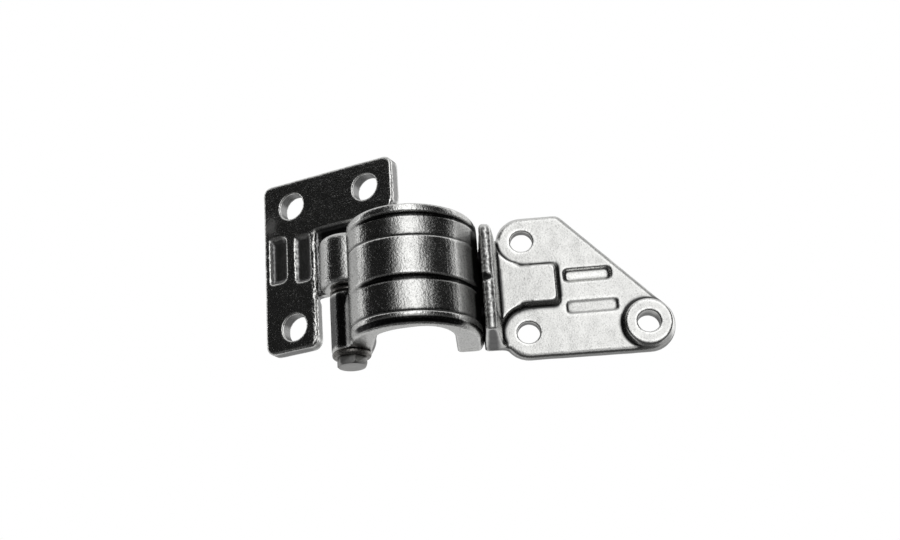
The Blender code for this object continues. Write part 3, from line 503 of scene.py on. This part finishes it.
def make_bush(context, node, name):
    """A flanged bush, spun from the section of its wall."""
    sizes = context.scene.hinge_hardware
    low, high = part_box(node)
    clearance, flange, rounding, hair = 0.08 * MM, 2 * MM, 1.6 * MM, 0.01 * MM
    radius, inner = (high.x - low.x) / 2, sizes.pin_radius + clearance
    upper = node == "upper_bush"
    face, end = (high.z, low.z) if upper else (low.z, high.z)
    step = -flange if upper else flange
    bpy.ops.object.select_all(action="DESELECT")
    bpy.ops.mesh.primitive_plane_add(size=1, location=(0, 0, 0))
    bush = bpy.context.object
    bush.name = bush.data.name = name
    bush.scale = (sizes.bush_wall, abs(end - face), 1)
    bush.rotation_euler = (math.pi / 2, 0, 0)
    bush.location = (PIN_AXIS.x + inner + sizes.bush_wall / 2, PIN_AXIS.y, (face + end) / 2)
    bpy.ops.object.transform_apply(location=True, rotation=True, scale=True)
    bpy.ops.object.mode_set(mode="EDIT")
    bpy.ops.mesh.select_all(action="SELECT")
    bpy.ops.mesh.bisect(plane_co=(0, 0, face + step), plane_no=(0, 0, 1))
    bpy.ops.object.mode_set(mode="OBJECT")
    wall = PIN_AXIS.x + inner + sizes.bush_wall - hair
    select_points(bush, lambda point: point.x > wall and abs(point.z - face) < abs(step) + hair)
    bpy.ops.mesh.extrude_region_move(
        TRANSFORM_OT_translate={"value": (radius - inner - sizes.bush_wall, 0, 0)})
    bpy.ops.object.mode_set(mode="OBJECT")
    rim = PIN_AXIS.x + radius - hair
    select_points(bush, lambda point: point.x > rim and abs(point.z - face) < hair)
    bpy.ops.mesh.bevel(offset=rounding, segments=5, affect="VERTICES")
    # only the section's outline is spun, so that no faces are left inside the wall
    bpy.ops.mesh.select_all(action="SELECT")
    bpy.ops.mesh.dissolve_faces()
    bpy.ops.mesh.delete(type="ONLY_FACE")
    bpy.ops.mesh.select_all(action="SELECT")
    bpy.ops.mesh.spin(steps=72, angle=2 * math.pi, center=PIN_AXIS, axis=(0, 0, 1))
    bpy.ops.mesh.select_all(action="SELECT")
    bpy.ops.mesh.remove_doubles(threshold=0.002 * MM)
    bpy.ops.mesh.normals_make_consistent(inside=False)
    bpy.ops.object.mode_set(mode="OBJECT")
    only(bush)
    bpy.ops.object.shade_smooth_by_angle(angle=math.radians(35))
    return bush


def make_foot_screw(context, name, height):
    """A countersunk hex-socket screw, along the arm's foot and into the flange."""
    sizes = context.scene.hinge_hardware
    across = (0, math.pi / 2, 0)
    head_x, head_y, head_rim, shank_length = 50.5 * MM, -4 * MM, 0.5 * MM, 13.5 * MM
    socket_radius, socket_start, socket_depth = 2.9 * MM, -1 * MM, 2.6 * MM
    middle = PIN_AXIS + Vector((head_x, head_y, height))
    screw = new_rod(name, 48, sizes.screw_head_radius, (0, head_rim), middle, across)
    select_faces(screw, lambda centre, normal: normal.x > 0.9)
    taper = sizes.screw_head_radius - sizes.screw_radius
    bpy.ops.mesh.extrude_region_move(TRANSFORM_OT_translate={"value": (taper, 0, 0)})
    bpy.ops.transform.resize(value=(1,) + 2 * (sizes.screw_radius / sizes.screw_head_radius,),
                             center_override=middle)
    bpy.ops.mesh.extrude_region_move(TRANSFORM_OT_translate={"value": (shank_length, 0, 0)})
    bpy.ops.object.mode_set(mode="OBJECT")
    socket = new_rod("socket", 6, socket_radius, (socket_start, socket_depth), middle, across)
    cut_with(screw, socket, "DIFFERENCE")
    break_edges(screw, 0.25 * MM)
    turn_about_pin(screw, context.scene.hinge_forgings.rest_angle)
    return screw


def finish_piece(piece, node, body, material, smooth=True):
    """Hand a finished piece to its body, in the place of its CAD node."""
    piece.data.materials.clear()
    piece.data.materials.append(material)
    only(piece)
    if smooth:
        bpy.ops.object.shade_smooth()
    if not piece.data.polygons:
        raise RuntimeError(piece.name + " has no faces")
    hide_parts(node)
    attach(piece, body)


class HINGE_OT_pillar_plate(bpy.types.Operator):
    """Forge the pillar plate with its upper knuckle"""

    bl_idname = "hinge.pillar_plate"
    bl_label = "Pillar plate"

    def execute(self, context):
        plate = copy_node("pillar_plate", "pillar_plate_forging")
        forge(plate)
        # the trimmed inner edge, the beam's right edge and the torn left walls of both pockets
        soften(plate, lambda point: point.x > 10.8 * MM and point.y < -5 * MM and point.z < 17 * MM, 30)
        tear(plate, lambda p: 10.8 < p.x < 14.0 and p.y < -5.4 and p.z < 17, height=0.8 * MM, width=1.7 * MM)
        tear(plate, lambda p: 56.6 < p.x < 59.4 and p.y < -6.2 and p.z < 36, height=0.5 * MM, width=1.2 * MM)
        tear(plate, lambda p: (-14.8 < p.x < -11.6 or 0.3 < p.x < 2.9) and p.y < -5.2 and -10 < p.z < 17,
             height=0.5 * MM, width=1.0 * MM)
        # painted shade darkens the plate's side walls, its holes' walls and the web behind the beam, where
        # less painted corner shade is laid; both pockets' floors and a patch over the deep pocket are matt
        x, y, z = points_from_pin(plate)
        from_hole = np.min([np.hypot(x + PIN_AXIS.x / MM - across, z + PIN_AXIS.z / MM - up)
                            for across, up in PLATE_HOLES], axis=0)
        walls = within(y, 10, 16) & ((x < -22.5) | (z > 72) | (from_hole < HOLE_REACH))
        web = within(x, -21, 16) & within(y, 9, 14)
        pocket_floors = within(x, -51, -27) & within(y, 9.3, 12) & within(z, 46, 75)
        patch = np.exp(-((x + 49.5) / 4) ** 2 - ((z - 81) / 5.5) ** 2)
        mark_surface(plate, dull=np.maximum(0.85 * walls, web & within(z, 56, 76)),
                     matt=0.45 * pocket_floors + 0.5 * patch, dark=-0.1 * (web & within(z, 58, 76)))
        # the corners' light grey is painted shade in the plate's corners and gaps
        plating = zinc_plated_forging("zinc plating on coarse forging", grain_mm=1.0, grain_height_mm=0.16,
                                      roughness=0.16, specks=0.5, dulled=0.15, corners="#8A8A8A")
        finish_piece(plate, "pillar_plate", "pillar_side", plating)
        return {"FINISHED"}


class HINGE_OT_arm(bpy.types.Operator):
    """Forge the bowed arm"""

    bl_idname = "hinge.arm"
    bl_label = "Bowed arm"

    def execute(self, context):
        turn = context.scene.hinge_forgings.rest_angle
        arm = copy_node("hinge_arm", "hinge_arm_forging")
        turn_about_pin(arm, -turn)
        forge(arm)
        seat(arm, SEAM_CLOSING)
        # the sharp lines under the middle band and the top lip
        press_in(arm, bow_line(height=22.3, width=1.6), depth=1.0 * MM)
        press_in(arm, bow_line(height=53.5, width=1.2), depth=0.7 * MM)
        # painted shade darkens the knuckle, the wall by the foot towards the seam and the bow's lower edge;
        # the wall by the foot is matt
        x, y, z = points_from_pin(arm)
        lower_edge_shade = fade(z, 3.4, 2.6) * fade(z, 0.3, 0.9) * fade(-y, 22, 30)
        seam_shade = fade(x, 60, 62) * (y > -31) * (z > 6)
        mark_surface(arm, dull=fade(np.hypot(x, y), 12.5, 9.5) * (z < 29),
                     matt=1.5 * fade(x, 53.5, 56.5) * (z > 3), dark=0.35 * seam_shade + 0.4 * lower_edge_shade)
        turn_about_pin(arm, turn)
        plating = zinc_plated_forging("zinc plating on forging", grain_mm=1.0, grain_height_mm=0.14,
                                      roughness=0.15, specks=0.55, dulled=0.15)
        finish_piece(arm, "hinge_arm", "door_side", plating)
        return {"FINISHED"}


class HINGE_OT_door_bracket(bpy.types.Operator):
    """Forge the door bracket"""

    bl_idname = "hinge.door_bracket"
    bl_label = "Door bracket"

    def execute(self, context):
        turn = context.scene.hinge_forgings.rest_angle
        bracket = copy_node("door_bracket", "door_bracket_forging")
        turn_about_pin(bracket, -turn)
        forge(bracket)
        seat(bracket, -SEAM_CLOSING)
        front, back = 5.8, 11.7
        holes = [(PIN_AXIS.x + x * MM, PIN_AXIS.z + z * MM, HOLE_REACH * MM) for x, z in BRACKET_HOLES]
        round_rim(bracket, PIN_AXIS.y + front * MM, PIN_AXIS.y + back * MM, holes, width=3 * MM, times=24)
        # burrs on the flange's lower nose and along its rib
        seam, pin_y = SEAM_X / MM, PIN_AXIS.y / MM
        tear(bracket, lambda p: p.x < seam + 2.4 and p.y < pin_y - 20 and p.z < -33,
             height=0.5 * MM, width=1.3 * MM)
        tear(bracket, lambda p: p.x < seam + 8 and p.y < pin_y - 8 and p.z > -52,
             height=0.45 * MM, width=1.1 * MM)
        # the tongue's edges flow round the holes' clearances
        for height in (18.8, 40.0):
            spot = PIN_AXIS + Vector((84.5, 3.5, height)) * MM
            soften(bracket, lambda point: (point - spot).length < 4.5 * MM, 14)
        # painted shade darkens the flange, the plate's side walls, the rim of its slope, the seam and the
        # notch in the rib; both pockets and the tongue's upper edge get less painted corner shade, the
        # pockets a painted highlight
        x, y, z = points_from_pin(bracket)
        flange = fade(x, 71.5, 69.5)
        walls = fade(y, 6.4, 7.6) * (y < 11.3) * ~(within(x, 102, 130) & within(z, 28, 39))
        slope = fade(0.727 * x + 0.687 * z, 118.6, 119.1) * (x > 100) * (z > 12) * (y < 9)
        pocket = within(x, 101, 132) & within(z, 27, 40) & within(y, 6.2, 9)
        shallow = (within(x, 101, 132) & within(z, 11.5, 22.5) | within(x, 73, 101) & (z > 38)) & (y < 9)
        seam_shade = (x < 64.2) & (y > -22)
        notch = fade(x, 67.8, 66.3) * within(z, 22.9, 27.5)
        mark_surface(bracket, dull=np.max([flange, 0.75 * walls, 0.85 * slope], axis=0), matt=0.3 * flange,
                     dark=0.35 * seam_shade + 0.35 * notch - 0.2 * pocket - 0.06 * shallow)
        turn_about_pin(bracket, turn)
        # the corners' dark grey is painted shade in the bracket's corners and gaps
        plating = zinc_plated_forging("zinc plating on pressed forging", grain_mm=0.9, grain_height_mm=0.08,
                                      roughness=0.22, specks=0.3, dulled=0.35, corners="#4C4C4C")
        finish_piece(bracket, "door_bracket", "door_side", plating)
        return {"FINISHED"}


class HINGE_OT_hardware(bpy.types.Operator):
    """Finish the pivot bolt, the bushes and the foot screws"""

    bl_idname = "hinge.hardware"
    bl_label = "Bolt, bushes and screws"

    def execute(self, context):
        plating = zinc_plated_forging("zinc plating on cold-headed steel", grain_mm=0.8, grain_height_mm=0.04,
                                      roughness=0.4, specks=0.2, dulled=0.85)
        oxide, bronze = black_oxide(), oiled_bronze()
        bolt = make_pivot_bolt(context)
        finish_piece(bolt, "pivot_bolt", "pillar_side", plating, smooth=False)
        for node, name in (("lower_bush", "lower_flanged_bush"), ("upper_bush", "upper_flanged_bush")):
            finish_piece(make_bush(context, node, name), node, "door_side", bronze, smooth=False)
        for node, name, height in (("lower_foot_screw", "lower_socket_screw", 13.5 * MM),
                                   ("upper_foot_screw", "upper_socket_screw", 41.2 * MM)):
            screw = make_foot_screw(context, name, height)
            finish_piece(screw, node, "door_side", oxide, smooth=False)
        return {"FINISHED"}


class HINGE_OT_studio(bpy.types.Operator):
    """Set the camera, the lamps' world and the floor"""

    bl_idname = "hinge.studio"
    bl_label = "Studio"

    def execute(self, context):
        set_camera(context)
        set_world(context)
        lay_floor(context)
        context.scene.view_settings.view_transform = "Standard"
        return {"FINISHED"}


def set_camera(context):
    """The photograph's view, from below and to the right of the pillar plate."""
    studio = context.scene.hinge_studio
    azimuth, rise, roll = studio.azimuth, studio.rise, studio.roll
    ahead = Vector((-math.sin(azimuth) * math.cos(rise), math.cos(azimuth) * math.cos(rise), math.sin(rise)))
    right = Vector((math.cos(azimuth), math.sin(azimuth), 0))
    up = right.cross(ahead)
    right, up = (right * math.cos(roll) + up * math.sin(roll), up * math.cos(roll) - right * math.sin(roll))
    lens = bpy.data.cameras.new("photo_view")
    lens.sensor_width = 36.0
    lens.lens = studio.lens
    lens.clip_start = 0.01
    camera = bpy.data.objects.new("photo_view", lens)
    camera.matrix_world = (Matrix.Translation(PIN_AXIS + Vector(studio.place))
                           @ Matrix((right, up, -ahead)).transposed().to_4x4())
    context.scene.collection.objects.link(camera)
    context.scene.camera = camera


def set_world(context):
    """A white room for the eye; metal sees a soft front lamp, dark cards beside it and grey walls behind."""
    world = bpy.data.worlds.new("studio")
    context.scene.world = world
    world.use_nodes = True
    tree = world.node_tree
    tree.nodes.clear()
    output = add_node(tree, "ShaderNodeOutputWorld")
    direction = add_node(tree, "ShaderNodeTexCoord").outputs["Generated"]
    turned = add_node(tree, "ShaderNodeMapping", {"Vector": direction,
                                                  "Rotation": (0, 0, -context.scene.hinge_studio.lamp)},
                      vector_type="POINT")
    axes = add_node(tree, "ShaderNodeSeparateXYZ", {"Vector": turned.outputs["Vector"]})
    # how far round from the front lamp a direction points, as a share of half a turn, and how high
    side = add_node(tree, "ShaderNodeMath", {0: axes.outputs["X"]}, operation="ABSOLUTE")
    ahead = add_node(tree, "ShaderNodeMath", {0: axes.outputs["Y"], 1: -1.0}, operation="MULTIPLY")
    angle = add_node(tree, "ShaderNodeMath", {0: side.outputs["Value"], 1: ahead.outputs["Value"]},
                     operation="ARCTAN2")
    around = add_node(tree, "ShaderNodeMath", {0: angle.outputs["Value"], 1: math.pi}, operation="DIVIDE")
    rise = add_node(tree, "ShaderNodeMath", {0: axes.outputs["Z"]}, operation="ARCSINE").outputs["Value"]

    rings = {}
    for name, stops in RINGS.items():
        ring = add_node(tree, "ShaderNodeValToRGB", {"Fac": around.outputs["Value"]})
        ring.color_ramp.interpolation = "EASE"
        while len(ring.color_ramp.elements) < len(stops):
            ring.color_ramp.elements.new(0.5)
        for element, (degrees, strength) in zip(ring.color_ramp.elements, stops):
            element.position = degrees / 180
            element.color = (strength, strength, strength, 1)
        rings[name] = ring.outputs["Color"]

    # the left half gives way to the right one; below both lies the low ring and then the ground, and above
    # them a grey ceiling
    room = rings["left"]
    for source, start, end, tone in ((axes.outputs["X"], -0.1, 0.1, rings["right"]),
                                     (rise, math.radians(2), math.radians(-12), rings["low"]),
                                     (rise, math.radians(-36), math.radians(-48), rings["ground"]),
                                     (rise, math.radians(36), math.radians(50), (0.4, 0.4, 0.4, 1))):
        share = add_node(tree, "ShaderNodeMapRange", {"Value": source, "From Min": start, "From Max": end})
        room = add_node(tree, "ShaderNodeMix", {0: share.outputs["Result"], MIX_A: room, MIX_B: tone},
                        data_type="RGBA").outputs[MIX_RESULT]
    path = add_node(tree, "ShaderNodeLightPath")
    lamps = add_node(tree, "ShaderNodeBackground", {"Color": room,
                                                    "Strength": context.scene.hinge_studio.lamp_strength})
    sheet = add_node(tree, "ShaderNodeBackground", {"Color": from_hex("#FFFFFF"), "Strength": 1.0})
    mix = add_node(tree, "ShaderNodeMixShader", {
        0: path.outputs["Is Camera Ray"], 1: lamps.outputs["Background"], 2: sheet.outputs["Background"]})
    tree.links.new(mix.outputs["Shader"], output.inputs["Surface"])


def lay_floor(context):
    """A plain pale floor well under the hinge, which hangs in the air as its mounting would hold it."""
    middle = PIN_AXIS - Vector((0, 0, context.scene.hinge_studio.floor_drop))
    bpy.ops.object.select_all(action="DESELECT")
    bpy.ops.mesh.primitive_circle_add(vertices=96, radius=1.6, fill_type="NGON", location=middle)
    floor = context.object
    floor.name = "studio_floor"
    bpy.ops.object.transform_apply(location=True, rotation=True, scale=True)
    material, tree, output = new_material("matt white paper")
    paper = add_node(tree, "ShaderNodeBsdfPrincipled", {"Base Color": from_hex("#F2F2F2"), "Roughness": 0.9})
    # seen from above, the paper is nearly as white as the room and keeps the hinge's soft shadow; seen from
    # below, it is clear
    white = add_node(tree, "ShaderNodeEmission", {"Color": from_hex("#FFFFFF"), "Strength": 1.0})
    seen = add_node(tree, "ShaderNodeLightPath").outputs["Is Camera Ray"]
    whitened = add_node(tree, "ShaderNodeMath", {0: seen, 1: 0.8}, operation="MULTIPLY")
    pale = add_node(tree, "ShaderNodeMixShader", {0: whitened.outputs["Value"], 1: paper.outputs["BSDF"],
                                                  2: white.outputs["Emission"]})
    under = add_node(tree, "ShaderNodeNewGeometry").outputs["Backfacing"]
    clear = add_node(tree, "ShaderNodeBsdfTransparent")
    mix = add_node(tree, "ShaderNodeMixShader", {0: under, 1: pale.outputs["Shader"],
                                                 2: clear.outputs["BSDF"]})
    tree.links.new(mix.outputs["Shader"], output.inputs["Surface"])
    floor.data.materials.append(material)
    floor.visible_glossy = False


class HINGE_PT_sidebar(bpy.types.Panel):
    """The hinge's operators in the 3D view's sidebar"""

    bl_idname = "HINGE_PT_sidebar"
    bl_label = "Door hinge"
    bl_space_type = "VIEW_3D"
    bl_region_type = "UI"
    bl_category = "Door hinge"

    def draw(self, context):
        scene = context.scene
        for group in (scene.hinge_forgings, scene.hinge_hardware, scene.hinge_finishes, scene.hinge_studio):
            for name in group.__annotations__:
                self.layout.prop(group, name)
        for kind in OPERATORS:
            self.layout.operator(kind.bl_idname)


OPERATORS = (HINGE_OT_pillar_plate, HINGE_OT_arm, HINGE_OT_door_bracket, HINGE_OT_hardware, HINGE_OT_studio)
CLASSES = (HingeForgings, HingeHardware, HingeFinishes, HingeStudio) + OPERATORS + (HINGE_PT_sidebar,)


def register():
    for kind in CLASSES:
        bpy.utils.register_class(kind)
    bpy.types.Scene.hinge_forgings = bpy.props.PointerProperty(type=HingeForgings)
    bpy.types.Scene.hinge_hardware = bpy.props.PointerProperty(type=HingeHardware)
    bpy.types.Scene.hinge_finishes = bpy.props.PointerProperty(type=HingeFinishes)
    bpy.types.Scene.hinge_studio = bpy.props.PointerProperty(type=HingeStudio)


def unregister():
    del bpy.types.Scene.hinge_studio
    del bpy.types.Scene.hinge_finishes
    del bpy.types.Scene.hinge_hardware
    del bpy.types.Scene.hinge_forgings
    for kind in reversed(CLASSES):
        bpy.utils.unregister_class(kind)


def main():
    register()
    bpy.ops.hinge.pillar_plate()
    bpy.ops.hinge.arm()
    bpy.ops.hinge.door_bracket()
    bpy.ops.hinge.hardware()
    bpy.ops.hinge.studio()


if __name__ == "__main__":
    main()
